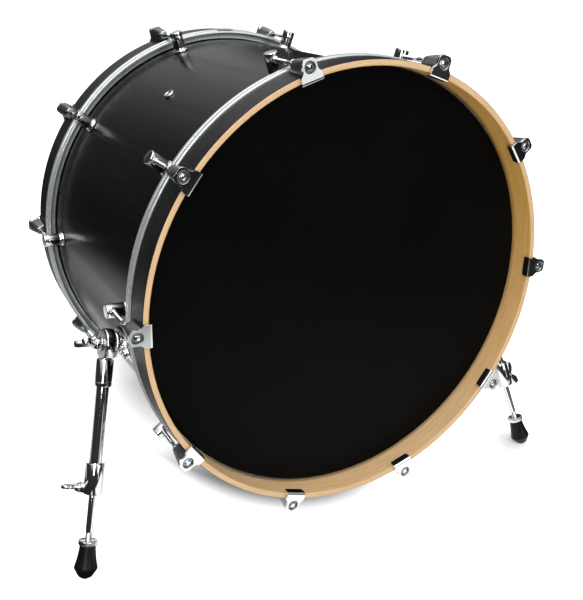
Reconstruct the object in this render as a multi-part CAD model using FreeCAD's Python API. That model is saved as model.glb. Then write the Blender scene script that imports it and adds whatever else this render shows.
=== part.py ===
import FreeCAD, Part
import math
import os

V = FreeCAD.Vector
os.makedirs("parts", exist_ok=True)

# Sizes in millimetres. The drum is drawn lying level, with its axis along Y, the front hoop's
# outer edge at y = 0 and the batter side at large y. It is stood on its legs at the very end.
# A place around the drum is an angle from +X, on the right seen from the front, towards +Z.
INCH = 25.4
shell_outer = 22 * INCH / 2
shell_wall = 8.0
shell_depth = 16 * INCH
shell_inner = shell_outer - shell_wall
edge_round = 2.0
edge_flat = 1.0

# Both heads are alike: a film stretched over the bearing edge and glued into a flesh hoop.
film = 0.5
head_setback = 31.0
film_gap = 0.2
film_slack = 0.17
skirt_clearance = 3.2
skirt_thickness = 0.6
skirt_lead = 0.6
skirt_depth = 4.5
skirt_inner = shell_outer + skirt_clearance
skirt_outer = skirt_inner + skirt_thickness
flesh_clearance = 1.8
flesh_thickness = 12.8
flesh_inner = shell_outer + flesh_clearance
flesh_outer = flesh_inner + flesh_thickness
flesh_height = 16.0
flesh_bead = 8.0
flesh_groove = 1.6
flesh_web = 8.0
flesh_wall = 4.5
glue_gap = 0.1

shell_front = head_setback + film
shell_back = shell_front + shell_depth
total_depth = shell_depth + 2 * shell_front
middle = total_depth / 2

# Counter hoops that press the flesh hoops towards the shell.
hoop_clearance = 5.1
hoop_thickness = 7.5
hoop_inner = shell_outer + hoop_clearance
hoop_outer = hoop_inner + hoop_thickness
hoop_width = 41.0
hoop_edge = 1.2
hoop_seat_gap = 0.1
flesh_front = hoop_width + hoop_seat_gap
flesh_back = flesh_front + flesh_height
skirt_start = flesh_front - skirt_lead
skirt_end = skirt_start + skirt_depth

# Ten tension places on each side.
lug_count = 10
lug_step = 360 / lug_count
first_angle = 144.0
rod_offset = 7.5
rod_place = hoop_outer + rod_offset
rod_radius = 7 / 32 * INCH / 2
bolt_clearance = 0.32
thread_clearance = 0.08
lug_setback = 27.4
lug_place = flesh_back + lug_setback
rod_reach = 6.5
rod_end = lug_place + rod_reach

liner = 1.0
claw_plate = 3.5
claw_lip = 2.8
claw_lip_depth = 8.0
claw_tail_end = 31.0
claw_half = 14.5
claw_shoulder = hoop_outer - 1.0
claw_neck = 10.0
claw_neck_place = hoop_outer + 3.5
claw_cheek = 9.2
claw_cheek_place = rod_place + 6.0
claw_top_half = 5.8
claw_top = rod_place + 10.0
tail_half = 9.0
tail_shoulder = hoop_outer + 1.5
tail_neck = 7.0
tail_neck_place = hoop_outer + 3.5
tail_cheek = 6.5
tail_cheek_place = rod_place + 1.5
tail_top_half = 4.0
tail_top = rod_place + 5.5
recess_radius = 5.8
recess_mouth = 7.2
recess_floor = 4.5
rod_washer_radius = 5.5
rod_washer_height = 1.0
seat_gap = 0.1
rod_flange_radius = 5.2
rod_flange_height = 2.1
key_square = 6.2
key_front = -4.2

lug_radius = 8.8
lug_wall = 9.0
lug_top = rod_place + lug_wall
lug_foot_radius = 10.4
lug_foot_height = 2.0
lug_round = 1.5
gasket = 1.0
gasket_margin = 0.8
nut_radius = 4.0
nut_length = 15.0

# The same screw and washer hold the lugs and the spur brackets from inside the shell.
screw_radius = 2.9
screw_hole = 3.2
screw_length = 20.0
screw_head_radius = 5.5
screw_head_height = 3.5
washer_radius = 7.0
washer_height = 1.5

vent_angle = 126.0
vent_bore = 3.8
vent_barrel = 5.5
vent_flange_radius = 7.6
vent_flange_height = 3.0
vent_nut_height = 3.0
vent_tail = 4.0

sleeve_angle = 90.0
sleeve_length = 25.0
sleeve_wall = 0.8

# Spurs. Each leg lies flat on a ratchet disc, which leans so that the leg splays outwards.
# Places along the disc's axis are measured outwards from the pivot.
spur_angle = -168.6
spur_place = 123.0
plate_length = 56.0
plate_width = 36.0
plate_corner = 9.0
plate_height = 3.5
pad_offset = 20.0
pad_radius = 6.5
pad_height = 11.6
boss_radius = 13.0
boss_end = -12.5
ratchet_radius = 17.0
ratchet_end = -6.5
ratchet_clearance = 1.0
face_gap = 0.3
leg_head_radius = 20.0
leg_head_end = 7.0
pivot_offset = 24.1
pivot_place = shell_outer + pivot_offset
leg_out = 24.4
leg_fore = 18.7
pivot_bolt_radius = 4.0
pivot_bolt_root = -20.0
hub_radius = 7.5
hub_height = 10.0
wing_radius = 6.5
wing_thickness = 8.0
wing_rise = 18.0
wing_spread = 16.0
wing_turn = 28.0
wing_root_rise = 2.2

# Places along a leg are measured from the pivot towards the floor.
socket_start = 11.0
socket_end = 53.0
socket_radius = 10.75
tube_start = 22.0
tube_end = 175.0
tube_radius = 8.0
tube_bore = 5.2
collar_start = 149.0
collar_end = 188.0
collar_radius = 11.8
collar_screw_place = 181.0
collar_boss_radius = 6.5
collar_boss_reach = 15.5
collar_screw_radius = 3.0
collar_screw_rear = 18.0
collar_hub_radius = 6.0
collar_hub_height = 7.0
collar_wing_rise = 10.0
collar_wing_spread = 13.5
collar_wing_radius = 7.0
collar_wing_thickness = 5.5
left_wing_turn = 100.0
right_wing_turn = 10.0
leg_rod_start = 100.0
leg_rod_radius = 4.35
leg_rod_clearance = 0.05
leg_thread_start = 236.0
leg_thread_radius = 4.0
leg_rod_end = 276.0
leg_point = 4.0
lock_nut_start = 246.0
lock_nut_height = 6.0
lock_nut_radius = 12.0
foot_gap = 0.1
foot_top_radius = 10.0
foot_waist = 11.3
foot_flare = 14.5
foot_flare_place = 27.5
foot_flare_height = 3.0
foot_tip_radius = 8.5
foot_tip_place = 39.0
foot_height = 44.0
foot_bore_depth = 33.0
foot_floor = 292.0


def ring(inner, outer, y0, y1):
    """A plain ring around the drum's axis."""
    return turned([(inner, y0), (outer, y0), (outer, y1), (inner, y1)])


def turned(profile):
    """A body turned around the drum's axis from points of radius and place."""
    points = [V(-r, y, 0) for r, y in profile]
    face = Part.Face(Part.makePolygon(points + points[:1]))
    return face.revolve(V(0, 0, 0), V(0, 1, 0), 360)


def spun(profile):
    """A body turned around Z from points of radius and height."""
    points = [V(r, 0, z) for r, z in profile]
    face = Part.Face(Part.makePolygon(points + points[:1]))
    return face.revolve(V(0, 0, 0), V(0, 0, 1), 360)


def post(radius, r0, r1, y):
    """A round post that stands out of the shell at angle zero."""
    return Part.makeCylinder(radius, r1 - r0, V(r0, y, 0), V(1, 0, 0))


def bar(radius, y0, y1):
    """A round bar along a tension rod's line at angle zero."""
    return Part.makeCylinder(radius, y1 - y0, V(rod_place, y0, 0), V(0, 1, 0))


def on_rod(profile):
    """A body turned around a tension rod's line at angle zero."""
    points = [V(rod_place + r, y, 0) for r, y in profile]
    face = Part.Face(Part.makePolygon(points + points[:1]))
    return face.revolve(V(rod_place, 0, 0), V(0, 1, 0), 360)


def inside(radius):
    """Everything within a radius of the drum's axis."""
    far = total_depth + middle
    return turned([(0, -middle), (radius, -middle), (radius, far), (0, far)])


def around(shape, angle):
    """The shape carried from angle zero to its place around the drum."""
    placed = shape.copy()
    placed.rotate(V(0, 0, 0), V(0, 1, 0), -angle)
    return placed


def rear(shape):
    """The batter side's twin of a shape on the front."""
    placed = shape.copy()
    placed.rotate(V(0, middle, 0), V(0, 0, 1), 180)
    return placed


def rounded_block(r0, r1, y0, y1, width, corner):
    """A block on the shell at angle zero, with the four edges that point outwards rounded."""
    block = Part.makeBox(r1 - r0, y1 - y0, width, V(r0, y0, -width / 2))
    upright = [e for e in block.Edges if abs(e.tangentAt(e.FirstParameter).x) > 0.5]
    return block.makeFillet(corner, upright)


def paddle(start, end, radius, thickness, normal):
    """A flat wing with two round ends."""
    way = end - start
    side = normal.cross(way).normalize() * radius
    low = normal * (-thickness / 2)
    corners = [start + side, end + side, end - side, start - side]
    outline = Part.makePolygon([c + low for c in corners + corners[:1]])
    wing = Part.Face(outline).extrude(normal * thickness)
    for point in (start, end):
        wing = wing.fuse(Part.makeCylinder(radius, thickness, point + low, normal))
    return wing.removeSplitter()


def tension_angles():
    """The ten places around the drum, the first one at the upper left seen from the front."""
    return [first_angle - lug_step * k for k in range(lug_count)]


def group(shape, sides=(False,)):
    """Separate copies of one piece at all ten tension places, on one side or on both."""
    copies = []
    for behind in sides:
        for angle in tension_angles():
            placed = around(shape, angle)
            copies.append(rear(placed) if behind else placed)
    return copies


both_sides = (False, True)
nodes = {}

# Shell, a plywood tube with bevelled bearing edges.
edge_outer = shell_outer - edge_round
edge_inner = edge_outer - edge_flat
bevel = edge_inner - shell_inner
shell = turned([
    (shell_inner, shell_front + bevel),
    (edge_inner, shell_front),
    (edge_outer, shell_front),
    (shell_outer, shell_front + edge_round),
    (shell_outer, shell_back - edge_round),
    (edge_outer, shell_back),
    (edge_inner, shell_back),
    (shell_inner, shell_back - bevel),
])

# Heads.
bend = edge_outer + film_gap
shoulder = shell_outer + film_gap + film_slack
shoulder_place = shell_front + shoulder - bend
front_head_film = turned([
    (0, head_setback),
    (bend + film / 2, head_setback),
    (shoulder + film, shoulder_place - film / 2),
    (skirt_outer, skirt_start),
    (skirt_outer, skirt_end),
    (skirt_inner, skirt_end),
    (skirt_inner, skirt_start),
    (shoulder, shoulder_place),
    (bend, shell_front),
    (0, shell_front),
])
front_flesh_hoop = turned([
    (flesh_inner, flesh_front),
    (skirt_inner - glue_gap, flesh_front),
    (skirt_inner - glue_gap, skirt_end),
    (skirt_outer + glue_gap, skirt_end),
    (skirt_outer + glue_gap, flesh_front),
    (flesh_outer, flesh_front),
    (flesh_outer, flesh_front + flesh_bead),
    (flesh_outer - flesh_groove, flesh_front + flesh_bead + flesh_groove),
    (flesh_outer, flesh_front + flesh_bead + 2 * flesh_groove),
    (flesh_outer, flesh_back - flesh_groove),
    (flesh_outer - flesh_groove, flesh_back),
    (flesh_outer - flesh_wall, flesh_back),
    (flesh_outer - flesh_wall, flesh_front + flesh_web),
    (flesh_inner, flesh_front + flesh_web),
])
sleeve_block = Part.makeBox(
    2 * flesh_outer, flesh_height, sleeve_length,
    V(0, flesh_front, -sleeve_length / 2))
sleeve_band = ring(flesh_outer, flesh_outer + sleeve_wall, flesh_front, flesh_back)
flesh_sleeve = sleeve_band.common(sleeve_block)

# Counter hoops.
front_hoop = turned([
    (hoop_inner + hoop_edge, 0),
    (hoop_outer - hoop_edge, 0),
    (hoop_outer, hoop_edge),
    (hoop_outer, hoop_width - hoop_edge),
    (hoop_outer - hoop_edge, hoop_width),
    (hoop_inner + hoop_edge, hoop_width),
    (hoop_inner, hoop_width - hoop_edge),
    (hoop_inner, hoop_edge),
])

# A claw hooks over the hoop's edge on a rubber liner, and its nose holds the rod's head.
claw_front = -liner - claw_plate
lip_outer = hoop_inner - liner
lip_inner = lip_outer - claw_lip
saddle_inner = hoop_outer + liner
claw_root = lip_inner - claw_lip


def outline(profile, y):
    """A claw's outline across the rod at one place, from radii and half widths."""
    points = [V(r, y, -half) for r, half in profile]
    points += [V(r, y, half) for r, half in reversed(profile)]
    return Part.makePolygon(points + points[:1])


plate_outline = outline([
    (claw_root, claw_half),
    (claw_shoulder, claw_half),
    (claw_neck_place, claw_neck),
    (claw_cheek_place, claw_cheek),
    (claw_top, claw_top_half),
], claw_front)
tail_outline = outline([
    (claw_root, tail_half),
    (tail_shoulder, tail_half),
    (tail_neck_place, tail_neck),
    (tail_cheek_place, tail_cheek),
    (tail_top, tail_top_half),
], claw_tail_end)
claw_blank = Part.makeLoft([plate_outline, tail_outline], True, True)
claw = claw_blank.cut(turned([
    (lip_outer, -liner),
    (saddle_inner, -liner),
    (saddle_inner, claw_tail_end + liner),
    (claw_root - claw_lip, claw_tail_end + liner),
    (claw_root - claw_lip, claw_lip_depth),
    (lip_outer, claw_lip_depth),
]))
claw = claw.cut(inside(lip_inner))
claw = claw.cut(bar(recess_radius, 2 * claw_front, recess_floor))
claw = claw.cut(on_rod([(0, claw_front), (recess_mouth, claw_front), (recess_radius, -liner), (0, -liner)]))
claw = claw.cut(bar(rod_radius + bolt_clearance, recess_floor, claw_tail_end))

claw_liner = turned([
    (lip_outer, -liner),
    (saddle_inner, -liner),
    (saddle_inner, claw_tail_end - liner),
    (hoop_outer, claw_tail_end - liner),
    (hoop_outer, 0),
    (hoop_inner, 0),
    (hoop_inner, claw_lip_depth - liner),
    (lip_outer, claw_lip_depth - liner),
])
claw_liner = claw_liner.common(claw_blank)

# Rod with a square head for the tuning key, and the washer it turns on.
washer_front = recess_floor - rod_washer_height
rod_washer = bar(rod_washer_radius, washer_front, recess_floor)
rod_washer = rod_washer.cut(bar(rod_radius + bolt_clearance, washer_front, recess_floor))
flange_back = washer_front - seat_gap
flange_front = flange_back - rod_flange_height
rod = bar(rod_radius, flange_front, rod_end).fuse(bar(rod_flange_radius, flange_front, flange_back))
key = Part.makeBox(
    key_square, flange_front - key_front, key_square,
    V(rod_place - key_square / 2, key_front, -key_square / 2))
rod = rod.fuse(key).removeSplitter()

# Turret lug on a gasket, with the swivel nut that the rod screws into.
gasket_top = shell_outer + gasket
lug = post(lug_radius, shell_inner, lug_top, lug_place)
lug = lug.makeFillet(lug_round, [e for e in lug.Edges if e.CenterOfMass.x > lug_top - lug_round])
lug_foot = post(lug_foot_radius, shell_inner, gasket_top + lug_foot_height, lug_place)
lug = lug.fuse(lug_foot).removeSplitter().cut(inside(gasket_top))
nut_bore = bar(nut_radius, lug_place - lug_foot_radius, lug_place + lug_foot_radius)
lug = lug.cut(nut_bore)
swivel_nut = bar(nut_radius, lug_place - nut_length / 2, lug_place + nut_length / 2)
swivel_nut = swivel_nut.cut(bar(rod_radius + thread_clearance, 0, total_depth))
gasket_disc = post(lug_foot_radius + gasket_margin, shell_inner, gasket_top, lug_place)
gasket_disc = gasket_disc.common(inside(gasket_top)).cut(inside(shell_outer))

# Screw and washer from inside the shell.
head_seat = shell_inner - washer_height
screw_end = head_seat + screw_length


def screw_at(y):
    """The screw at angle zero, its head inside the shell."""
    shank = post(screw_radius, head_seat, screw_end, y)
    return shank.fuse(post(screw_head_radius, head_seat - screw_head_height, head_seat, y)).removeSplitter()


def screw_washer_at(y):
    """The washer under a screw's head, shaped to the shell's inner wall."""
    disc = post(washer_radius, head_seat, shell_outer, y).common(inside(shell_inner))
    return disc.cut(post(screw_hole, head_seat - washer_height, shell_outer, y))


def tapped(shape, y):
    """The shape with the screw's own hole in it."""
    return shape.cut(post(screw_radius, shell_inner, screw_end, y))


def drilled(shape, y):
    """The shape with a clear hole for the screw through it."""
    return shape.cut(post(screw_hole, shell_inner - washer_height, gasket_top + gasket, y))


lug = tapped(lug, lug_place)
gasket_disc = drilled(gasket_disc, lug_place)

# Vent grommet, a bored tube riveted through the shell with a ring nut inside.
vent_tube = post(vent_barrel, shell_inner - vent_tail, shell_outer, middle)
vent_cap = post(vent_flange_radius, shell_inner, shell_outer + vent_flange_height, middle)
vent_cap = vent_cap.makeFillet(
    vent_flange_height / 2, [e for e in vent_cap.Edges if e.CenterOfMass.x > shell_outer])
vent_cap = vent_cap.cut(inside(shell_outer))
vent_core = post(vent_bore, 0, hoop_outer, middle)
vent_grommet = vent_tube.common(inside(shell_outer)).fuse(vent_cap).cut(vent_core).removeSplitter()
vent_nut = post(vent_flange_radius, shell_inner - vent_nut_height, shell_outer, middle)
vent_nut = vent_nut.common(inside(shell_inner)).cut(post(vent_barrel, 0, hoop_outer, middle))

# The leg's line from the pivot, and the axis that it folds about, square to the leg.
out = math.radians(leg_out)
fore = math.radians(leg_fore)
lean = math.atan2(math.tan(out), math.cos(fore))
pivot = V(pivot_place, spur_place, 0)
pivot_way = V(math.cos(lean), 0, -math.sin(lean))
leg_way = V(math.sin(out), -math.cos(out) * math.sin(fore), math.cos(out) * math.cos(fore))
leg_frame = FreeCAD.Placement(pivot, FreeCAD.Rotation(V(0, 0, 1), leg_way))


def pivot_post(radius, near, far):
    """A round post along the pivot's axis."""
    return Part.makeCylinder(radius, far - near, pivot + pivot_way * near, pivot_way)


# Spur bracket: a curved plate with two tapped pads, a leaning boss and the fixed half of the ratchet.
plate = rounded_block(
    shell_inner, hoop_outer, spur_place - plate_length / 2, spur_place + plate_length / 2,
    plate_width, plate_corner)
bracket = plate.common(inside(gasket_top + plate_height)).cut(inside(gasket_top))
bracket_gasket = rounded_block(
    shell_inner, hoop_outer, spur_place - plate_length / 2 - gasket_margin,
    spur_place + plate_length / 2 + gasket_margin, plate_width + 2 * gasket_margin, plate_corner)
bracket_gasket = bracket_gasket.common(inside(gasket_top)).cut(inside(shell_outer))
pad_places = (spur_place - pad_offset, spur_place + pad_offset)
for y in pad_places:
    pad = post(pad_radius, gasket_top, gasket_top + pad_height, y).cut(inside(gasket_top + gasket))
    bracket = tapped(bracket.fuse(pad).removeSplitter(), y)
    bracket_gasket = drilled(bracket_gasket, y)
boss_drop = (pivot_place - gasket_top) * math.tan(lean)
plate_turn = math.degrees(boss_drop / gasket_top)
boss = pivot_post(boss_radius, -2 * pivot_offset, boss_end).cut(inside(gasket_top + gasket))
bracket = around(bracket, plate_turn).fuse(boss)
bracket = bracket.fuse(pivot_post(ratchet_radius, boss_end, ratchet_end)).removeSplitter()
bolt_hole = pivot_bolt_radius + thread_clearance
bracket = bracket.cut(pivot_post(bolt_hole, pivot_bolt_root - face_gap, leg_head_end))
bracket_gasket = around(bracket_gasket, plate_turn)


def on_leg(shape):
    """A shape drawn along Z carried onto the leg's line."""
    placed = shape.copy()
    placed.transformShape(leg_frame.toMatrix())
    return placed


def leg_bar(radius, start, end):
    """A round bar along the leg."""
    return on_leg(Part.makeCylinder(radius, end - start, V(0, 0, start)))


leg_head = pivot_post(leg_head_radius, ratchet_end + face_gap, leg_head_end)
leg_head = leg_head.makeFillet(lug_round, [
    e for e in leg_head.Edges if (e.CenterOfMass - pivot).dot(pivot_way) > leg_head_end - lug_round])
leg_head = leg_head.fuse(leg_bar(socket_radius, socket_start, socket_end)).removeSplitter()
leg_head = leg_head.cut(pivot_post(ratchet_radius + ratchet_clearance, -pivot_offset, ratchet_end + face_gap))
leg_head = leg_head.cut(leg_bar(tube_radius, tube_start, socket_end))
leg_head = leg_head.cut(pivot_post(bolt_hole, -pivot_offset, 2 * socket_radius))
leg_tube = leg_bar(tube_radius, tube_start, tube_end).cut(leg_bar(tube_bore, tube_start, tube_end))

# Collar at the tube's end, with a side boss for the wing screw that grips the inner rod.
screw_base = pivot + leg_way * collar_screw_place
rearward = math.radians(collar_screw_rear)
screw_way = V(math.cos(rearward), math.sin(rearward), 0)
screw_way = (screw_way - leg_way * screw_way.dot(leg_way)).normalize()


def collar_post(radius, near, far):
    """A round bar along the collar screw's line."""
    return Part.makeCylinder(radius, far - near, screw_base + screw_way * near, screw_way)


collar = leg_bar(collar_radius, collar_start, collar_end)
collar = collar.fuse(collar_post(collar_boss_radius, leg_rod_radius, collar_boss_reach)).removeSplitter()
collar = collar.cut(leg_bar(tube_radius, collar_start, tube_end))
collar = collar.cut(leg_bar(leg_rod_radius + leg_rod_clearance, tube_end, collar_end))
collar = collar.cut(collar_post(collar_screw_radius + thread_clearance, 0, collar_boss_reach))

inner_rod = spun([
    (0, leg_rod_start),
    (leg_rod_radius, leg_rod_start),
    (leg_rod_radius, leg_thread_start),
    (leg_thread_radius, leg_thread_start),
    (leg_thread_radius, leg_rod_end - leg_point),
    (0, leg_rod_end),
])
inner_rod = on_leg(inner_rod)
lock_nut = leg_bar(lock_nut_radius, lock_nut_start, lock_nut_start + lock_nut_height)
lock_nut = lock_nut.cut(leg_bar(leg_thread_radius + thread_clearance, leg_thread_start, leg_rod_end))

# Where the drum stands: on the feet in front and on the two lowest batter claws behind.
upright_turn = FreeCAD.Rotation(V(0, 1, 0), -spur_angle)
floor_point = upright_turn.multVec(pivot + leg_way * foot_floor)
rear_contact_y = total_depth - claw_front
half_step = math.radians(lug_step / 2)
rear_contact_z = -claw_top * math.cos(half_step) - claw_top_half * math.sin(half_step)
tilt = math.degrees(math.atan2(rear_contact_z - floor_point.z, rear_contact_y - floor_point.y))

# Rubber foot, a bell with a flat worn where it meets the floor.
foot_start = lock_nut_start + lock_nut_height + foot_gap
foot_bore = leg_thread_radius + thread_clearance
foot = spun([
    (foot_bore, foot_start),
    (foot_top_radius, foot_start),
    (foot_waist, foot_start + foot_flare_place / 2),
    (foot_flare, foot_start + foot_flare_place),
    (foot_flare, foot_start + foot_flare_place + foot_flare_height),
    (foot_tip_radius, foot_start + foot_tip_place),
    (0, foot_start + foot_height),
    (0, foot_start + foot_bore_depth),
    (foot_bore, foot_start + foot_bore_depth),
])
foot = around(on_leg(foot), spur_angle)
ground = Part.makeBox(4 * foot_height, 4 * foot_height, foot_height)
ground.translate(V(-2 * foot_height, -2 * foot_height, -foot_height))
ground.rotate(V(0, 0, 0), V(1, 0, 0), tilt)
ground.translate(floor_point)
foot = foot.cut(ground)

# Wing bolt of the pivot and wing screw of the collar.
hub_start = leg_head_end + face_gap
wing_bolt = pivot_post(pivot_bolt_radius, pivot_bolt_root, hub_start)
wing_bolt = wing_bolt.fuse(pivot_post(hub_radius, hub_start, hub_start + hub_height))
wing_root = pivot + pivot_way * (hub_start + hub_height / 2 + wing_root_rise)
wing_way = FreeCAD.Rotation(pivot_way, wing_turn).multVec(V(0, 1, 0))
for way in (1, -1):
    wing_end = wing_root + pivot_way * wing_rise + wing_way * (way * wing_spread)
    wing_bolt = wing_bolt.fuse(paddle(
        wing_root, wing_end, wing_radius, wing_thickness, pivot_way.cross(wing_way)))
wing_bolt = wing_bolt.removeSplitter()
collar_hub_start = collar_boss_reach + face_gap
collar_hub_end = collar_hub_start + collar_hub_height
collar_wing_root = screw_base + screw_way * collar_hub_end


def collar_wing_screw(turn):
    """The collar's wing screw, with its wings turned about its line."""
    screw = collar_post(collar_screw_radius, leg_rod_radius + face_gap, collar_hub_start)
    screw = screw.fuse(collar_post(collar_hub_radius, collar_hub_start, collar_hub_end))
    spread = FreeCAD.Rotation(screw_way, turn).multVec(leg_way)
    for way in (1, -1):
        wing_end = collar_wing_root + screw_way * collar_wing_rise + spread * (way * collar_wing_spread)
        screw = screw.fuse(paddle(
            collar_wing_root, wing_end, collar_wing_radius, collar_wing_thickness, screw_way.cross(spread)))
    return screw.removeSplitter()


# Everything that passes through the shell.
for angle in tension_angles():
    for behind in both_sides:
        hole = around(post(screw_hole, shell_inner - washer_height, gasket_top, lug_place), angle)
        shell = shell.cut(rear(hole) if behind else hole)
plate_angles = (spur_angle + plate_turn, 180 - spur_angle - plate_turn)
for angle in plate_angles:
    for y in pad_places:
        shell = shell.cut(around(post(screw_hole, shell_inner - washer_height, gasket_top, y), angle))
shell = shell.cut(around(post(vent_barrel, shell_inner - washer_height, gasket_top, middle), vent_angle))


def mirrored(shape):
    """The twin of a piece on the drum's other side."""
    return shape.mirror(V(0, 0, 0), V(1, 0, 0))


def left(shape):
    """A spur piece carried to the left spur."""
    return around(shape, spur_angle)


nodes["shell"] = shell
nodes["vent_grommet"] = around(vent_grommet, vent_angle)
nodes["vent_grommet_nut"] = around(vent_nut, vent_angle)
nodes["lugs"] = Part.makeCompound(group(lug, both_sides))
nodes["lug_gaskets"] = Part.makeCompound(group(gasket_disc, both_sides))
nodes["swivel_nuts"] = Part.makeCompound(group(swivel_nut, both_sides))
shell_screws = group(screw_at(lug_place), both_sides)
shell_washers = group(screw_washer_at(lug_place), both_sides)
for y in pad_places:
    for angle in plate_angles:
        shell_screws.append(around(screw_at(y), angle))
        shell_washers.append(around(screw_washer_at(y), angle))
nodes["shell_screws"] = Part.makeCompound(shell_screws)
nodes["shell_washers"] = Part.makeCompound(shell_washers)

nodes["front_head_film"] = front_head_film
nodes["front_flesh_hoop"] = front_flesh_hoop
nodes["rear_head_film"] = rear(front_head_film)
nodes["rear_flesh_hoop"] = rear(front_flesh_hoop)
nodes["rear_flesh_hoop_sleeve"] = rear(around(flesh_sleeve, sleeve_angle))

nodes["front_hoop"] = front_hoop
nodes["front_claws"] = Part.makeCompound(group(claw))
nodes["front_claw_liners"] = Part.makeCompound(group(claw_liner))
nodes["front_rod_washers"] = Part.makeCompound(group(rod_washer))
nodes["rear_hoop"] = rear(front_hoop)
nodes["rear_claws"] = Part.makeCompound([rear(c) for c in group(claw)])
nodes["rear_claw_liners"] = Part.makeCompound([rear(c) for c in group(claw_liner)])
nodes["rear_rod_washers"] = Part.makeCompound([rear(c) for c in group(rod_washer)])
for number, placed in enumerate(group(rod), 1):
    nodes["front_tension_rod_%02d" % number] = placed
    nodes["rear_tension_rod_%02d" % number] = rear(placed)

nodes["spur_brackets"] = Part.makeCompound([left(bracket), mirrored(left(bracket))])
nodes["spur_bracket_gaskets"] = Part.makeCompound([left(bracket_gasket), mirrored(left(bracket_gasket))])
spur_pieces = {
    "spur_leg_head": left(leg_head),
    "spur_leg_tube": left(leg_tube),
    "spur_leg_collar": left(collar),
    "spur_leg_rod": left(inner_rod),
    "spur_lock_nut": left(lock_nut),
    "spur_rubber_foot": foot,
    "spur_pivot_wing_bolt": left(wing_bolt),
}
for name, shape in spur_pieces.items():
    nodes["left_" + name] = shape
    nodes["right_" + name] = mirrored(shape)
nodes["left_spur_collar_wing_screw"] = left(collar_wing_screw(left_wing_turn))
nodes["right_spur_collar_wing_screw"] = mirrored(left(collar_wing_screw(right_wing_turn)))

# Stand the drum on the floor, with the middle of its depth over the origin.
centre = V(0, -middle * math.cos(math.radians(tilt)), 0)
turn = FreeCAD.Rotation(V(1, 0, 0), -tilt)
lift = V(0, 0, -turn.multVec(floor_point).z)
stand = FreeCAD.Placement(centre + lift, turn)
for name, shape in nodes.items():
    placed = shape.copy()
    placed.transformShape(stand.toMatrix())
    placed.exportStep("parts/" + name + ".step")
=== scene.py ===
import math

import bmesh
import bpy
from mathutils import Euler, Matrix, Vector


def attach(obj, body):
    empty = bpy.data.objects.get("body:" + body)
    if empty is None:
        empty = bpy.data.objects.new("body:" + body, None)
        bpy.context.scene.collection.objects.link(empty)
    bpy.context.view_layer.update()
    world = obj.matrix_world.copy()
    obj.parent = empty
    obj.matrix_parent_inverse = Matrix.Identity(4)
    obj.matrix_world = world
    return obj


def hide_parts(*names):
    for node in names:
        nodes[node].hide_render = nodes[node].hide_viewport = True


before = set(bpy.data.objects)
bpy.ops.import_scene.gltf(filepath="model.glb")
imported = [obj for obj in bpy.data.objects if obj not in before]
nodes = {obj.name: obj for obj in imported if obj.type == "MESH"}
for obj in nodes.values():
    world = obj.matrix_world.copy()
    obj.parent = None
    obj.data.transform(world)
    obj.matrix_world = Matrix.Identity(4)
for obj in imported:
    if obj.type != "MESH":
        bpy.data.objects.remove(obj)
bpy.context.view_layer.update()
scene = bpy.context.scene
scene.view_settings.view_transform = "Standard"

# The drum's own frame in metres: axis along Y, front hoop's edge at y = 0, tilted on its legs.
TILT = math.radians(4.5357152)
SHIFT = Vector((0.0, -0.2339650, 0.3326931))
DRUM = Matrix.Translation(SHIFT) @ Matrix.Rotation(-TILT, 4, "X")
DEPTH = 0.4694

# Radii and depth in metres where the stain of shell and hoops begins and ends.
SHELL_STAIN = 0.2778
HOOP_FACE = 0.28485
HOOP_PLIES = 0.2845
HOOP_STAIN = 0.2913
HOOP_DEPTH = 0.0396

# The hoops' plies: how many to a metre, and the share of each that is glue line.
PLIES_PER_METRE = 560.0
PLY_LINE = 0.16


class Tree:
    """A node tree with short ways to add and join nodes."""

    def __init__(self, tree):
        self.nodes = tree.nodes
        self.links = tree.links

    def add(self, kind, **values):
        node = self.nodes.new(kind)
        for key, value in values.items():
            setattr(node, key, value)
        return node

    def join(self, source, target):
        self.links.new(source, target)

    def feed(self, socket, value):
        """Sets a socket to a number, or joins it to another node."""
        if isinstance(value, (int, float)):
            socket.default_value = value
        else:
            self.join(value, socket)

    def math(self, operation, *values):
        node = self.add("ShaderNodeMath", operation=operation)
        for socket, value in zip(node.inputs, values):
            self.feed(socket, value)
        return node.outputs[0]

    def plus(self, a, b):
        return self.math("ADD", a, b)

    def minus(self, a, b):
        return self.math("SUBTRACT", a, b)

    def times(self, a, b):
        return self.math("MULTIPLY", a, b)

    def most(self, a, b):
        return self.math("MAXIMUM", a, b)

    def least(self, a, b):
        return self.math("MINIMUM", a, b)

    def length(self, a, b):
        return self.math("SQRT", self.plus(self.times(a, a), self.times(b, b)))

    def split(self, vector):
        node = self.add("ShaderNodeSeparateXYZ")
        self.join(vector, node.inputs[0])
        return node.outputs

    def map_range(self, kind, value, *limits):
        """Takes a value from one range, the first two limits, to another."""
        node = self.add("ShaderNodeMapRange", interpolation_type=kind)
        for label, limit in zip(("From Min", "From Max", "To Min", "To Max"), limits):
            node.inputs[label].default_value = limit
        self.join(value, node.inputs["Value"])
        return node.outputs["Result"]

    def step(self, value, low, high, bottom=0.0, top=1.0):
        """A smooth step of a value from bottom at low to top at high."""
        return self.map_range("SMOOTHSTEP", value, low, high, bottom, top)

    def spread(self, value, low, high, low_in=0.3, high_in=0.7):
        """A value taken evenly from one range, by default a noise's, to another."""
        return self.map_range("LINEAR", value, low_in, high_in, low, high)


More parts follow.
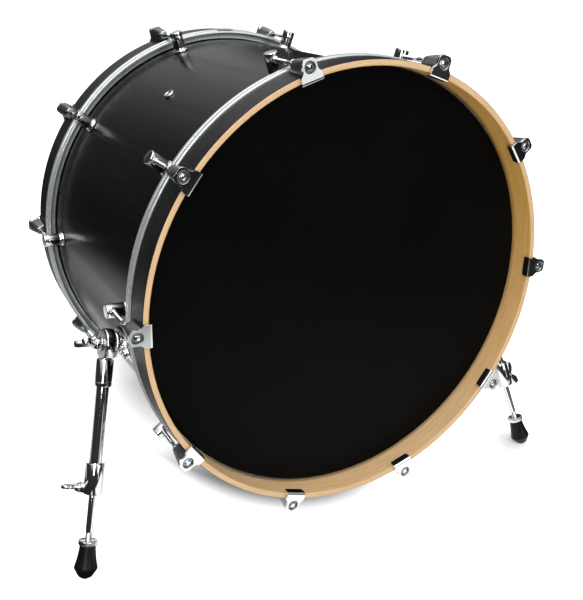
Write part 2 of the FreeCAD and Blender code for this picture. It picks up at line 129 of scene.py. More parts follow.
class Paint(Tree):
    """A material of one shader."""

    def __init__(self, name, metallic=0.0, gloss=0.5):
        self.material = bpy.data.materials.new(name)
        self.material.use_nodes = True
        super().__init__(self.material.node_tree)
        self.shader = self.nodes["Principled BSDF"]
        self.shader.inputs["Metallic"].default_value = metallic
        self.shader.inputs["Specular IOR Level"].default_value = gloss

    def place(self):
        """Coordinates in the drum's own frame, in metres."""
        turn = self.add("ShaderNodeMapping", vector_type="TEXTURE")
        turn.inputs["Location"].default_value = SHIFT
        turn.inputs["Rotation"].default_value = (-TILT, 0, 0)
        self.join(self.plain_place(), turn.inputs["Vector"])
        return turn.outputs["Vector"]

    def plain_place(self):
        return self.add("ShaderNodeTexCoord").outputs["Object"]

    def round_place(self):
        """Angle round the drum, place along its axis and radius, each as a value."""
        x, y, z = self.split(self.place())
        return self.math("ARCTAN2", z, x), y, self.length(x, z)

    def grain_place(self, *parts):
        """A vector of up to three values, each with its own scale."""
        node = self.add("ShaderNodeCombineXYZ")
        for socket, (value, scale) in zip(node.inputs, parts):
            self.join(self.times(value, scale), socket)
        return node.outputs[0]

    def noise(self, vector, scale, detail, roughness=0.55):
        node = self.add("ShaderNodeTexNoise")
        node.inputs["Scale"].default_value = scale
        node.inputs["Detail"].default_value = detail
        node.inputs["Roughness"].default_value = roughness
        self.join(vector, node.inputs["Vector"])
        return node.outputs["Fac"]

    def ramp(self, value, *stops):
        node = self.add("ShaderNodeValToRGB")
        elements = node.color_ramp.elements
        while len(elements) < len(stops):
            elements.new(0.5)
        for element, (at, colour) in zip(elements, stops):
            element.position = at
            element.color = (*colour, 1.0)
        self.join(value, node.inputs["Fac"])
        return node.outputs["Color"]

    def mix(self, factor, a, b):
        node = self.add("ShaderNodeMix", data_type="RGBA")
        self.join(factor, node.inputs[0])
        self.join(a, node.inputs[6])
        self.join(b, node.inputs[7])
        return node.outputs[2]

    def colour(self, value):
        self.join(value, self.shader.inputs["Base Color"])

    def rough(self, value):
        self.join(value, self.shader.inputs["Roughness"])

    def bump(self, height, strength, distance):
        node = self.add("ShaderNodeBump")
        node.inputs["Strength"].default_value = strength
        node.inputs["Distance"].default_value = distance
        self.join(height, node.inputs["Height"])
        self.join(node.outputs["Normal"], self.shader.inputs["Normal"])


def scaled(tone, factor):
    return tuple(factor * part for part in tone)


def chrome_paint(name, tone, low, high):
    paint = Paint(name, metallic=1.0)
    where = paint.plain_place()
    cloud = paint.noise(where, scale=38.0, detail=5.0)
    paint.colour(paint.ramp(cloud, (0.25, scaled(tone, 0.9)), (0.75, tone)))
    paint.rough(paint.spread(paint.noise(where, scale=160.0, detail=3.0), low, high))
    paint.bump(paint.noise(where, scale=90.0, detail=2.0), strength=0.006, distance=0.0004)
    return paint.material


def satin_paint(name, tone, low, high):
    paint = Paint(name, metallic=0.6)
    cloud = paint.noise(paint.place(), scale=14.0, detail=3.0)
    paint.colour(paint.ramp(cloud, (0.25, scaled(tone, 0.93)), (0.75, tone)))
    paint.rough(paint.spread(cloud, low, high))
    return paint.material


def rubber_paint(name, tone, grain):
    paint = Paint(name, gloss=0.2)
    where = paint.plain_place()
    speck = paint.noise(where, scale=900.0, detail=3.0)
    paint.colour(paint.ramp(speck, (0.3, scaled(tone, 0.7)), (0.72, scaled(tone, 1.3))))
    paint.rough(paint.spread(paint.noise(where, scale=60.0, detail=4.0), 0.28, 0.42))
    paint.bump(speck, strength=grain, distance=0.0004)
    return paint.material


def film_paint(name, low, high, rough_low, rough_high, grain, gloss):
    paint = Paint(name, gloss=gloss)
    where = paint.place()
    mist = paint.noise(where, scale=6.0, detail=3.0)
    tooth = paint.noise(where, scale=1400.0, detail=2.0)
    paint.colour(paint.ramp(mist, (0.3, low), (0.7, high)))
    paint.rough(paint.spread(tooth, rough_low, rough_high))
    paint.bump(tooth, strength=grain, distance=0.0002)
    return paint.material


def shell_paint():
    """Black stain outside and bare maple inside, with the grain along the drum's axis."""
    paint = Paint("shell_black_stain", gloss=0.32)
    paint.shader.inputs["Specular Tint"].default_value = (1.0, 0.98, 0.88, 1.0)
    angle, y, radius = paint.round_place()
    fibre = paint.noise(paint.grain_place((angle, 90.0), (y, 7.0)), scale=1.6, detail=6.0, roughness=0.62)
    broad = paint.noise(paint.grain_place((angle, 14.0), (y, 3.0)), scale=1.0, detail=3.0)
    dark, middle, light = (0.0020, 0.0017, 0.0014), (0.0048, 0.0041, 0.0033), (0.0130, 0.0110, 0.0086)
    stain = paint.ramp(fibre, (0.3, dark), (0.55, middle), (0.75, light))
    maple = paint.ramp(fibre, (0.3, (0.42, 0.27, 0.13)), (0.7, (0.60, 0.42, 0.23)))
    outside = paint.math("GREATER_THAN", radius, SHELL_STAIN)
    paint.colour(paint.mix(outside, maple, stain))
    paint.rough(paint.spread(broad, 0.20, 0.29))
    return paint.material


def hoop_paint():
    """Maple with ply lines on the outer edges and none inside, where the upper part is darker in painted
    shade and the lower part paler in painted light, and black stain elsewhere.
    """
    paint = Paint("hoop_maple", gloss=0.35)
    angle, y, radius = paint.round_place()
    grain_at = paint.grain_place((angle, 6.0), (y, 260.0), (radius, 700.0))
    grain = paint.noise(grain_at, scale=1.0, detail=6.0, roughness=0.6)

    def wood_ramp(dark, middle, light):
        return paint.ramp(grain, (0.25, dark), (0.5, middle), (0.78, light))

    ply = paint.math("FRACT", paint.times(paint.minus(radius, HOOP_PLIES), PLIES_PER_METRE))
    line = paint.math("LESS_THAN", ply, PLY_LINE)
    maple = wood_ramp((0.60, 0.38, 0.19), (0.72, 0.48, 0.26), (0.80, 0.57, 0.35))
    glue = paint.ramp(grain, (0.3, (0.55, 0.34, 0.18)), (0.7, (0.68, 0.45, 0.27)))
    # Painted light and shade on the inner face: deeper and darker at the top, where shade falls, and paler at
    # the bottom, which the light reaches.
    deep = wood_ramp((0.68, 0.37, 0.08), (0.80, 0.46, 0.12), (0.90, 0.55, 0.18))
    lit_lower_maple = wood_ramp((0.72, 0.45, 0.21), (0.82, 0.54, 0.28), (0.90, 0.63, 0.36))
    upper_shade_share = paint.spread(paint.math("SINE", angle), 0.0, 1.0, low_in=-0.8, high_in=0.3)
    face = paint.math("LESS_THAN", radius, HOOP_FACE)
    wood = paint.mix(face, paint.mix(line, maple, glue), paint.mix(upper_shade_share, lit_lower_maple, deep))
    stain = paint.ramp(grain, (0.3, (0.006, 0.006, 0.0065)), (0.75, (0.020, 0.019, 0.018)))
    outside = paint.math("GREATER_THAN", radius, HOOP_STAIN)
    from_middle = paint.math("ABSOLUTE", paint.minus(y, DEPTH / 2))
    hidden = paint.math("LESS_THAN", from_middle, DEPTH / 2 - HOOP_DEPTH)
    paint.colour(paint.mix(paint.most(outside, hidden), wood, stain))
    paint.rough(paint.spread(grain, 0.28, 0.44))
    paint.bump(grain, strength=0.08, distance=0.0004)
    return paint.material


CHROME = chrome_paint("polished_chrome", (0.86, 0.87, 0.88), 0.035, 0.09)
SATIN = chrome_paint("satin_chrome", (0.80, 0.82, 0.81), 0.28, 0.36)
CAST = chrome_paint("cast_chrome", (0.30, 0.32, 0.32), 0.30, 0.42)
STEEL = chrome_paint("zinc_steel", (0.62, 0.63, 0.64), 0.25, 0.38)
BRASS = chrome_paint("turned_brass", (0.72, 0.53, 0.24), 0.18, 0.30)
RUBBER = rubber_paint("black_rubber", (0.005, 0.005, 0.005), grain=0.2)
LINER = rubber_paint("claw_liner_rubber", (0.016, 0.016, 0.016), grain=0.15)
SHELL = shell_paint()
HOOP = hoop_paint()
BLACK_FILM = film_paint("black_film", (0.002,) * 3, (0.003,) * 3, 0.40, 0.52, grain=0.03, gloss=0.03)
COATED_FILM = film_paint(
    "coated_film", (0.74, 0.74, 0.71), (0.80, 0.80, 0.78), 0.55, 0.75, grain=0.25, gloss=0.4
)
FLESH = satin_paint("flesh_hoop_aluminium", (0.64, 0.68, 0.68), 0.24, 0.30)


def paint_for(name):
    if name == "shell":
        return SHELL
    if name in ("front_hoop", "rear_hoop"):
        return HOOP
    if name == "front_head_film":
        return BLACK_FILM
    if name == "rear_head_film":
        return COATED_FILM
    if "flesh_hoop" in name:
        return FLESH
    if "liner" in name or "gasket" in name:
        return LINER
    if "rubber" in name:
        return RUBBER
    if name == "swivel_nuts":
        return BRASS
    if name in ("shell_screws", "shell_washers", "vent_grommet_nut") or "rod_washers" in name:
        return STEEL
    if "claws" in name:
        return CAST
    return CHROME


for name, node in nodes.items():
    node.data.materials.clear()
    node.data.materials.append(paint_for(name))

# Sizes of the pieces built here, in millimetres in the drum's own frame.
MM = 0.001
ROD_LINE = 299.5
CLAW_FRONT = -4.5
LUG_PLACE = 84.5
LUG_TOP = 308.5
FLESH_OUTER = 294.0
SPUR_PLACE = 123.0
FOOT_FLOOR = 292.0
SIDES = 10
FIRST_ANGLE = 144
VENT_ANGLE = 126
ANGLES = [FIRST_ANGLE - 360 / SIDES * k for k in range(SIDES)]
MIDDLE = Matrix.Translation((0, DEPTH / 2, 0))
REAR = MIDDLE @ Matrix.Rotation(math.pi, 4, "Z") @ MIDDLE.inverted()
FLIP = Matrix.Scale(-1, 4, (1, 0, 0))


def around(angle):
    """From angle zero to a place around the drum."""
    return Matrix.Rotation(-math.radians(angle), 4, "Y")


class Shape:
    """Vertices in millimetres and faces, each face with the number of its material."""

    def __init__(self):
        self.verts = []
        self.faces = []
        self.slots = []

    def point(self, *place):
        self.verts.append(Vector(place))
        return len(self.verts) - 1

    def face(self, corners, slot=0):
        self.faces.append(tuple(corners))
        self.slots.append(slot)

    def bridge(self, a, b, slot=0, closed=True):
        """Quads between two rows of the same length."""
        for i in range(len(a) if closed else len(a) - 1):
            j = (i + 1) % len(a)
            self.face((a[i], a[j], b[j], b[i]), slot)

    def row(self, points):
        return [self.point(*p) for p in points]

    def loft(self, rows, slot=0):
        """Closed rings of points joined into a body with capped ends."""
        rings = [self.row(r) for r in rows]
        for a, b in zip(rings, rings[1:]):
            self.bridge(a, b, slot)
        self.face(reversed(rings[0]), slot)
        self.face(rings[-1], slot)

    def lathe(self, profile, to_place, steps=48, slot=0, closed=False, wobble=None):
        """A profile of radius and height turned about an axis; to_place maps (u, v, height) to a point."""
        rings = []
        for number, (radius, height) in enumerate(profile):
            if radius == 0:
                rings.append([self.point(*to_place(0, 0, height))] * steps)
                continue
            ring = []
            for i in range(steps):
                turn = 2 * math.pi * i / steps
                r = radius + (wobble(number, i) if wobble else 0)
                ring.append(self.point(*to_place(r * math.cos(turn), r * math.sin(turn), height)))
            rings.append(ring)
        pairs = list(zip(rings, rings[1:]))
        if closed:
            pairs.append((rings[-1], rings[0]))
        for a, b in pairs:
            for i in range(steps):
                j = (i + 1) % steps
                corners = []
                for v in (a[i], a[j], b[j], b[i]):
                    if v not in corners:
                        corners.append(v)
                if len(corners) > 2:
                    self.face(corners, slot)
        return rings

    def thread(self, to_place, last, start, end, pitch, root, crest):
        """A cut thread that goes on from a ring of points, closed at its end."""
        steps = len(last)
        per_turn = 5
        for n in range(int((end - start) / pitch * per_turn) + 1):
            fade = min(1.0, (n + 1) / per_turn)
            ring = []
            for i in range(steps):
                depth = abs(2 * ((n / per_turn - i / steps) % 1.0) - 1)
                r = root + (crest - root) * depth * fade
                turn = 2 * math.pi * i / steps
                place = start + (n + 1) * pitch / per_turn
                ring.append(self.point(*to_place(r * math.cos(turn), r * math.sin(turn), place)))
            self.bridge(last, ring)
            last = ring
        self.face(last)


def make_mesh(name, shape, places, paints, sharp=35):
    """One mesh with a copy of the shape at each place, in metres in the row frame."""
    verts, faces, slots = [], [], []
    for place in places:
        start = len(verts)
        verts += [place @ (v * MM) for v in shape.verts]
        turned = place.determinant() < 0
        for corners, slot in zip(shape.faces, shape.slots):
            order = reversed(corners) if turned else corners
            faces.append([c + start for c in order])
            slots.append(slot)
    mesh = bpy.data.meshes.new(name)
    mesh.from_pydata([tuple(v) for v in verts], [], faces)
    mesh.polygons.foreach_set("material_index", slots)
    mesh.polygons.foreach_set("use_smooth", [True] * len(faces))
    work = bmesh.new()
    work.from_mesh(mesh)
    bmesh.ops.remove_doubles(work, verts=work.verts, dist=1e-7)
    bmesh.ops.recalc_face_normals(work, faces=work.faces)
    work.to_mesh(mesh)
    work.free()
    mesh.set_sharp_from_angle(angle=math.radians(sharp))
    for paint in paints:
        mesh.materials.append(paint)
    return mesh


def show(name, mesh, body, replaced, bevel=0.0, place=None):
    """The mesh as a piece that rides on a body and stands for a CAD node."""
    piece = bpy.data.objects.new(name, mesh)
    scene.collection.objects.link(piece)
    if place is not None:
        piece.matrix_world = place
    if bevel:
        soften(piece, bevel)
    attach(piece, body)
    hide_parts(replaced)


def soften(piece, width):
    """Small rounds along the sharp edges, so that they catch the light."""
    edge = piece.modifiers.new("edge_round", "BEVEL")
    edge.width = width * MM
    edge.segments = 2
    edge.limit_method = "ANGLE"
    edge.angle_limit = math.radians(35)
    edge.harden_normals = True


def arc(cx, cy, radius, start, end, count):
    """Points on an arc, angles in degrees."""
    out = []
    for i in range(count + 1):
        turn = math.radians(start + (end - start) * i / count)
        out.append((cx + radius * math.cos(turn), cy + radius * math.sin(turn)))
    return out


def along_drum(u, v, height):
    return (u, height, v)


def along_rod(u, v, height):
    return (ROD_LINE + u, height, v)


def along_rod_in_lug(u, v, height):
    return (ROD_LINE + u, LUG_PLACE + height, v)


def out_of_shell(y):
    return lambda u, v, height: (height, y + u, v)


# Claw: a pierced, waisted plate, bent over the hoop's edge, with a tapered body behind it.
CLAW_BACK = -1.0
CLAW_CROWN = 309.4
CROWN_HALF = 5.6
LIP_HALF = 14.3
LIP_RADIUS = 287.0
LIP_SPANS = 10
BEND_RADIUS = 284.2
BEND_OUTER = 3.5
BEND_INNER = 0.7
MOUTH = 7.4
SEAT = 5.8
SEAT_DEPTH = 4.4
ROD_HOLE = 3.2


def lip_row(half):
    """Even places across the lip, from one side to the other."""
    return [-half + 2 * half * i / LIP_SPANS for i in range(LIP_SPANS + 1)]


def claw_plate(shape):
    """The plate with its countersunk hole; gives back its lower edges in front and behind."""
    flank = [(290.4, 14.1), (291.6, 13.4), (294.6, 10.6), (295.8, 9.9), (297.6, 9.6)]
    flank += [(301.5, 9.4), (305.4, 9.1), (306.9, 8.2), (308.6, 6.4), (309.2, CROWN_HALF)]
    lower = [(LIP_RADIUS, h) for h in lip_row(LIP_HALF)]
    crown = [(CLAW_CROWN, CROWN_HALF * (1 - i / 2)) for i in range(1, 4)]
    rim = lower + flank + crown + [(r, -h) for r, h in reversed(flank)]
    front = shape.row([(r, CLAW_FRONT, h) for r, h in rim])
    back = shape.row([(r, CLAW_BACK, h) for r, h in rim])
    turns = [math.atan2(h, r - ROD_LINE) for r, h in rim]
    hole = [(MOUTH, CLAW_FRONT), (MOUTH - 0.4, CLAW_FRONT + 0.4), (6.2, -2.4)]
    hole += [(SEAT, CLAW_BACK), (SEAT, SEAT_DEPTH), (ROD_HOLE, SEAT_DEPTH)]
    last = front
    for radius, y in hole:
        ring = shape.row([(ROD_LINE + radius * math.cos(t), y, radius * math.sin(t)) for t in turns])
        shape.bridge(ring, last, slot=1 if radius < MOUTH else 0)
        last = ring
    for i in range(LIP_SPANS, len(rim)):
        j = (i + 1) % len(rim)
        shape.face((front[i], front[j], back[j], back[i]))
    shape.bridge(last, back)
    return front[:LIP_SPANS + 1], back[:LIP_SPANS + 1]


def claw_lip(shape, last_out, last_in):
    """The bend over the hoop's edge and the lip inside it."""
    outside = BEND_RADIUS - BEND_OUTER
    inside = BEND_RADIUS - BEND_INNER
    path_out = arc(BEND_RADIUS, CLAW_FRONT + BEND_OUTER, BEND_OUTER, 270, 180, 6)
    path_out += [(outside, 2.5), (outside, 6.6), (outside + 0.5, 7.8)]
    path_in = arc(BEND_RADIUS, CLAW_BACK + BEND_INNER, BEND_INNER, 270, 180, 6)
    path_in += [(inside, 2.5), (inside, 6.6), (inside - 0.5, 8.0)]
    halves = [LIP_HALF] * 8 + [13.6, 12.2]
    for (ro, yo), (ri, yi), half in zip(path_out, path_in, halves):
        row_out = shape.row([(ro, yo, h) for h in lip_row(half)])
        row_in = shape.row([(ri, yi, h) for h in lip_row(half)])
        shape.bridge(row_out, last_out, closed=False)
        shape.bridge(last_in, row_in, closed=False)
        for end in (0, LIP_SPANS):
            shape.face((last_out[end], row_out[end], row_in[end], last_in[end]))
        last_out, last_in = row_out, row_in
    shape.bridge(last_in, last_out, closed=False)


def claw_section(y, base, foot, neck, cheek, peak, crown):
    """One outline of the body: half widths going outwards, foot at the hoop and crown on top."""
    points = [(base, foot), (base + 2.6, foot), (base + 4.6, neck)]
    points += [(ROD_LINE + 2.5, cheek), (crown - 1.6, peak), (crown, peak * 0.6)]
    return [(r, y, h) for r, h in points] + [(r, y, -h) for r, h in reversed(points)]


def claw_shape():
    shape = Shape()
    front_edge, back_edge = claw_plate(shape)
    claw_lip(shape, front_edge, back_edge)
    shape.loft([
        claw_section(-1.6, 293.1, 10.4, 9.4, 9.0, 6.6, 309.0),
        claw_section(4.0, 293.1, 10.2, 9.2, 8.8, 6.4, 308.6),
        claw_section(15.0, 293.1, 9.4, 8.2, 8.0, 5.8, 307.2),
        claw_section(26.0, 293.1, 8.4, 7.0, 6.8, 5.0, 305.6),
        claw_section(29.6, 293.3, 7.4, 6.4, 6.2, 4.4, 304.8),
        claw_section(31.0, 294.2, 5.8, 5.2, 5.0, 3.4, 303.6),
    ], slot=1)
    tail_ring = arc(4.7, 32.4, 0.75, 0, 330, 9)
    shape.lathe(tail_ring, along_rod, 28, closed=True)
    return shape


# Tension rod: square key head on a flange, plain shank, cut thread.
KEY_HALF = 3.1
KEY_CORNER = 0.86
ROD_RADIUS = 2.78
ROD_ROOT = 2.45
ROD_THREAD = 47.2
ROD_END = 90.6
ROD_PITCH = 1.058


def rod_shape():
    shape = Shape()
    flats = [(-1, -KEY_CORNER), (-KEY_CORNER, -1), (KEY_CORNER, -1), (1, -KEY_CORNER)]
    corners = flats + [(-a, -b) for a, b in flats]
    rows = []
    for y, size in ((-4.2, 2.45), (-3.7, 3.0), (-3.2, KEY_HALF), (1.4, KEY_HALF)):
        rows.append([(ROD_LINE + size * a, y, size * b) for a, b in corners])
    shape.loft(rows)
    shank = [(0, 1.2), (4.3, 1.2), (5.0, 1.6), (5.2, 2.2), (5.2, 3.0), (5.0, 3.4)]
    shank += [(ROD_RADIUS, 3.4), (ROD_RADIUS, 46.0), (ROD_ROOT, ROD_THREAD)]
    rings = shape.lathe(shank, along_rod, 24)
    shape.thread(along_rod, rings[-1], ROD_THREAD, ROD_END, ROD_PITCH, ROD_ROOT, ROD_RADIUS)
    return shape


# Turret lug: a turned post on a low foot, with a short collar where the rod goes in.
LUG_RADIUS = 8.8
LUG_ROUND = 1.4
LUG_FOOT = 10.4
LUG_SEAT = 280.2
LUG_BORE = 2.85


def lug_shape():
    shape = Shape()
    post = [(0, LUG_TOP), (4.5, LUG_TOP - 0.05), (7.2, LUG_TOP - 0.3)]
    post += arc(LUG_RADIUS - LUG_ROUND, LUG_TOP - 1.7, LUG_ROUND, 80, 0, 5)
    post += [(LUG_RADIUS, 286.0), (8.55, 285.7), (8.55, 285.2), (LUG_RADIUS, 284.9), (LUG_RADIUS, 283.6)]
    post += [(9.1, 282.9), (9.7, 282.5), (10.1, 282.4), (LUG_FOOT, 282.1)]
    post += [(LUG_FOOT, LUG_SEAT), (0, LUG_SEAT)]
    shape.lathe(post, out_of_shell(LUG_PLACE), 56)
    collar = [(LUG_BORE, -9.6), (3.7, -9.6), (4.1, -9.2), (4.3, -8.4), (4.8, -7.4)]
    collar += [(4.8, -6.0), (LUG_BORE, -6.0)]
    shape.lathe(collar, along_rod_in_lug, 24, closed=True)
    far_end = [(0, 9.0), (2.6, 9.0), (3.2, 8.7), (3.4, 8.0), (3.4, 6.5), (0, 6.5)]
    shape.lathe(far_end, along_rod_in_lug, 24)
    return shape


# Flesh hoop: a full bead with a narrow lip towards the shell.
FLESH_INNER = 281.3
FLESH_FRONT = 41.2
FLESH_WEB = 49.0


def flesh_shape():
    shape = Shape()
    top = FLESH_OUTER
    profile = [(FLESH_INNER, FLESH_FRONT), (top - 2.6, FLESH_FRONT)]
    profile += arc(top - 2.3, 43.6, 2.3, -75, 0, 4) + [(top, 45.6)]
    profile += arc(top - 2.0, 46.6, 2.0, 10, 80, 4)
    profile += [(top - 3.6, 49.1), (top - 4.1, 50.0), (top - 3.6, 50.8)]
    profile += arc(top - 2.8, 53.0, 1.9, -70, 0, 4) + [(top - 0.9, 54.4)]
    profile += arc(top - 3.3, 54.8, 2.3, 10, 85, 4)
    profile += [(top - 4.6, 57.0), (top - 5.0, 56.4), (top - 5.0, 50.0), (top - 6.2, FLESH_WEB)]
    profile += [(FLESH_INNER, FLESH_WEB)]
    shape.lathe(profile, along_drum, 256, closed=True)
    return shape


# Vent grommet: a rolled ring around an open bore.
VENT_NECK = 5.5
VENT_END = 267.4


def vent_shape():
    shape = Shape()
    profile = [(3.8, VENT_END), (VENT_NECK, VENT_END), (VENT_NECK, 279.2), (7.4, 279.3), (7.75, 279.9)]
    profile += [(7.7, 281.0), (7.1, 282.0), (6.1, 282.5), (5.1, 282.4), (4.3, 281.8), (3.9, 280.8)]
    shape.lathe(profile, out_of_shell(DEPTH / MM / 2), 48, closed=True)
    return shape


front_places = [DRUM @ around(a) for a in ANGLES]
rear_places = [DRUM @ REAR @ around(a) for a in ANGLES]
claw = claw_shape()
flesh = flesh_shape()
rod_mesh = make_mesh("tension_rod", rod_shape(), [Matrix.Identity(4)], [CHROME], 40)
for side, places, turn in (("front", front_places, DRUM), ("rear", rear_places, DRUM @ REAR)):
    claw_mesh = make_mesh(side + "_claw_hooks", claw, places, [CHROME, CAST])
    show(side + "_claw_hooks", claw_mesh, side + "_hoop_set", side + "_claws", bevel=0.35)
    flesh_mesh = make_mesh(side + "_flesh_ring", flesh, [turn], [FLESH], 50)
    show(side + "_flesh_ring", flesh_mesh, "drum", side + "_flesh_hoop")
    for number, place in enumerate(places, 1):
        tag = "%s_rod_%02d" % (side, number)
        show(tag + "_threaded", rod_mesh, tag, "%s_tension_rod_%02d" % (side, number), place=place)
lug_mesh = make_mesh("turret_lugs", lug_shape(), front_places + rear_places, [CHROME], 50)
show("turret_lugs", lug_mesh, "drum", "lugs")
vent_mesh = make_mesh("vent_ring", vent_shape(), [DRUM @ around(VENT_ANGLE)], [STEEL], 50)
show("vent_ring", vent_mesh, "drum", "vent_grommet")

# Spur pieces, drawn along the pivot's axis and the leg's line at the left spur and mirrored for the right.
SPUR_ANGLE = -168.6
PIVOT_RADIUS = 303.5
LEG_OUT = math.radians(24.4)
LEG_FORE = math.radians(18.7)
SCREW_AIM = math.radians(18)
SCREW_ALONG = 181.0
SPUR = around(SPUR_ANGLE)
PIVOT = Vector((PIVOT_RADIUS, SPUR_PLACE, 0))
LEAN = math.atan2(math.tan(LEG_OUT), math.cos(LEG_FORE))
PIVOT_WAY = Vector((math.cos(LEAN), 0, -math.sin(LEAN)))
LEG_DROP = math.cos(LEG_OUT)
LEG_WAY = Vector((math.sin(LEG_OUT), -LEG_DROP * math.sin(LEG_FORE), LEG_DROP * math.cos(LEG_FORE)))
SCREW_WAY = Vector((math.cos(SCREW_AIM), math.sin(SCREW_AIM), 0))
SCREW_WAY = (SCREW_WAY - LEG_WAY * SCREW_WAY.dot(LEG_WAY)).normalized()


def line_frame(origin, way, side):
    """Maps (u, v, height) to a point about a line: height along way, u along side."""
    across = (side - way * side.dot(way)).normalized()
    other = way.cross(across)
    return lambda u, v, height: tuple(origin + way * height + across * u + other * v)


on_pivot = line_frame(PIVOT, PIVOT_WAY, Vector((0, 1, 0)))
on_leg = line_frame(PIVOT, LEG_WAY, PIVOT_WAY)
on_screw = line_frame(PIVOT + LEG_WAY * SCREW_ALONG, SCREW_WAY, LEG_WAY)

# Shares of a wing's length and of its full half width, from the hub outwards.
WING_STOPS = ((0.0, 0.62), (0.2, 0.66), (0.45, 0.8), (0.7, 0.94), (0.9, 1.0))
WING_TIP_ROWS = 7
WING_SIDES = 16


def wing_rows(length, radius, thick, tip):
    """Reach, half width and thickness of each row of one wing, ending in a rounded tip."""
    rows = [(at * length, wide * radius, thick + (tip - thick) * at) for at, wide in WING_STOPS]
    for i in range(1, WING_TIP_ROWS):
        share = i / WING_TIP_ROWS
        bend = math.radians(90 * share)
        reach = WING_STOPS[-1][0] * length + radius * math.sin(bend)
        rows.append((reach, radius * math.cos(bend), tip * (1 - 0.3 * share)))
    return rows


def wings(shape, to_place, turn, root, rise, spread, radius, thick, tip):
    """A pair of cast wings that lean outwards from a hub."""
    length = math.hypot(rise, spread)
    for way in (1, -1):
        along = Vector((way * spread / length, 0, rise / length))
        across = Vector((-along.z, 0, along.x))
        rings = []
        for reach, wide, deep in wing_rows(length, radius, thick, tip):
            ring = []
            for i in range(WING_SIDES):
                a = 2 * math.pi * i / WING_SIDES
                c, s = math.cos(a), math.sin(a)
                x = math.copysign(abs(c) ** 0.55, c) * wide
                y = math.copysign(abs(s) ** 0.75, s) * deep / 2
                p = Vector((0, 0, root)) + along * reach + across * x
                u = p.x * math.cos(turn) - y * math.sin(turn)
                v = p.x * math.sin(turn) + y * math.cos(turn)
                ring.append(to_place(u, v, p.z))
            rings.append(ring)
        shape.loft(rings)


def pivot_bolt_shape():
    shape = Shape()
    bolt = [(0, -20), (3.6, -20), (4.0, -19.4), (4.0, 7.35)]
    flange = [(8.6, 7.35), (9.0, 7.7), (9.0, 8.8), (8.6, 9.2)]
    hub = [(7.4, 9.3), (7.2, 12), (6.2, 16.2), (4.6, 17.2), (0, 17.3)]
    shape.lathe(bolt + flange + hub, on_pivot, 40)
    turn = math.radians(28)
    wings(shape, on_pivot, turn, root=14.5, rise=18.0, spread=16.0, radius=6.5, thick=6.4, tip=9.6)
    return shape


def collar_screw_shape(degrees):
    shape = Shape()
    screw = [(0, 4.7), (2.6, 4.7), (3.0, 5.2), (3.0, 15.85)]
    flange = [(6.4, 15.85), (6.7, 16.2), (6.7, 17.2), (6.0, 17.7)]
    hub = [(5.4, 20.0), (4.4, 22.5), (0, 22.8)]
    shape.lathe(screw + flange + hub, on_screw, 36)
    turn = math.radians(degrees)
    wings(shape, on_screw, turn, root=21.3, rise=11.0, spread=13.5, radius=7.0, thick=5.0, tip=5.6)
    return shape


# Lock nut, foot and leg, in distances down the leg from the pivot.
NUT_TOP = 246.0
NUT_HEIGHT = 6.0
NUT_RADIUS = 11.9
NUT_TEETH = 44
KNURL = (0.0, -0.15, -0.55, -0.15)
LEG_THREAD_BORE = 4.1
FOOT_TOP = 252.1
LEG_ROD_RADIUS = 4.35
LEG_ROD_ROOT = 3.6
LEG_ROD_CREST = 4.0
LEG_ROD_TOP = 100.0
LEG_THREAD = 236.2
LEG_ROD_END = 272.0
LEG_PITCH = 1.25


def toothed(cuts, *rings):
    """Cuts teeth into the numbered rings of a profile."""
    return lambda n, i: cuts[i % len(cuts)] if n in rings else 0.0


def knurled_shape():
    shape = Shape()
    upper = [(LEG_THREAD_BORE, 0.0), (10.6, 0.0), (11.5, 0.3), (NUT_RADIUS, 0.9)]
    profile = [(r, NUT_TOP + h) for r, h in upper]
    profile += [(r, NUT_TOP + NUT_HEIGHT - h) for r, h in reversed(upper)]
    steps = NUT_TEETH * len(KNURL)
    shape.lathe(profile, on_leg, steps, closed=True, wobble=toothed(KNURL, 3, 4))
    return shape


def foot_shape():
    shape = Shape()
    socket = [(0, 33), (LEG_THREAD_BORE, 33), (LEG_THREAD_BORE, 0), (9.0, 0), (9.8, 0.5), (10.0, 1.4)]
    bell = [(10.3, 5), (10.9, 10), (11.7, 15.5), (12.8, 21), (14.0, 25.6)]
    brim = [(14.45, 27.2), (14.5, 28.4), (14.3, 29.6), (13.6, 30.8), (12.6, 32.4)]
    sole = [(11.0, 35.2), (9.4, 37.6), (8.5, 39.0), (4.5, 41.5), (0, 43.9)]
    shape.lathe([(r, FOOT_TOP + h) for r, h in socket + bell + brim + sole], on_leg, 64)
    return shape


def leg_rod_shape():
    shape = Shape()
    profile = [(0, LEG_ROD_TOP), (4.0, LEG_ROD_TOP), (LEG_ROD_RADIUS, LEG_ROD_TOP + 0.6)]
    profile += [(LEG_ROD_RADIUS, LEG_THREAD - 0.8), (LEG_ROD_ROOT, LEG_THREAD)]
    rings = shape.lathe(profile, on_leg, 32)
    shape.thread(on_leg, rings[-1], LEG_THREAD, LEG_ROD_END, LEG_PITCH, LEG_ROD_ROOT, LEG_ROD_CREST)
    return shape


# Collar at the tube's end: wide over the tube, narrow over the rod, with a boss for its screw.
TUBE_BORE = 8.05
COLLAR_TOP = 149.0
COLLAR_STEP = 175.2
COLLAR_END = 188.0
COLLAR_RADIUS = 11.8
COLLAR_BORE = 4.45
BOSS_BORE = 3.1
BOSS_RADIUS = 6.5


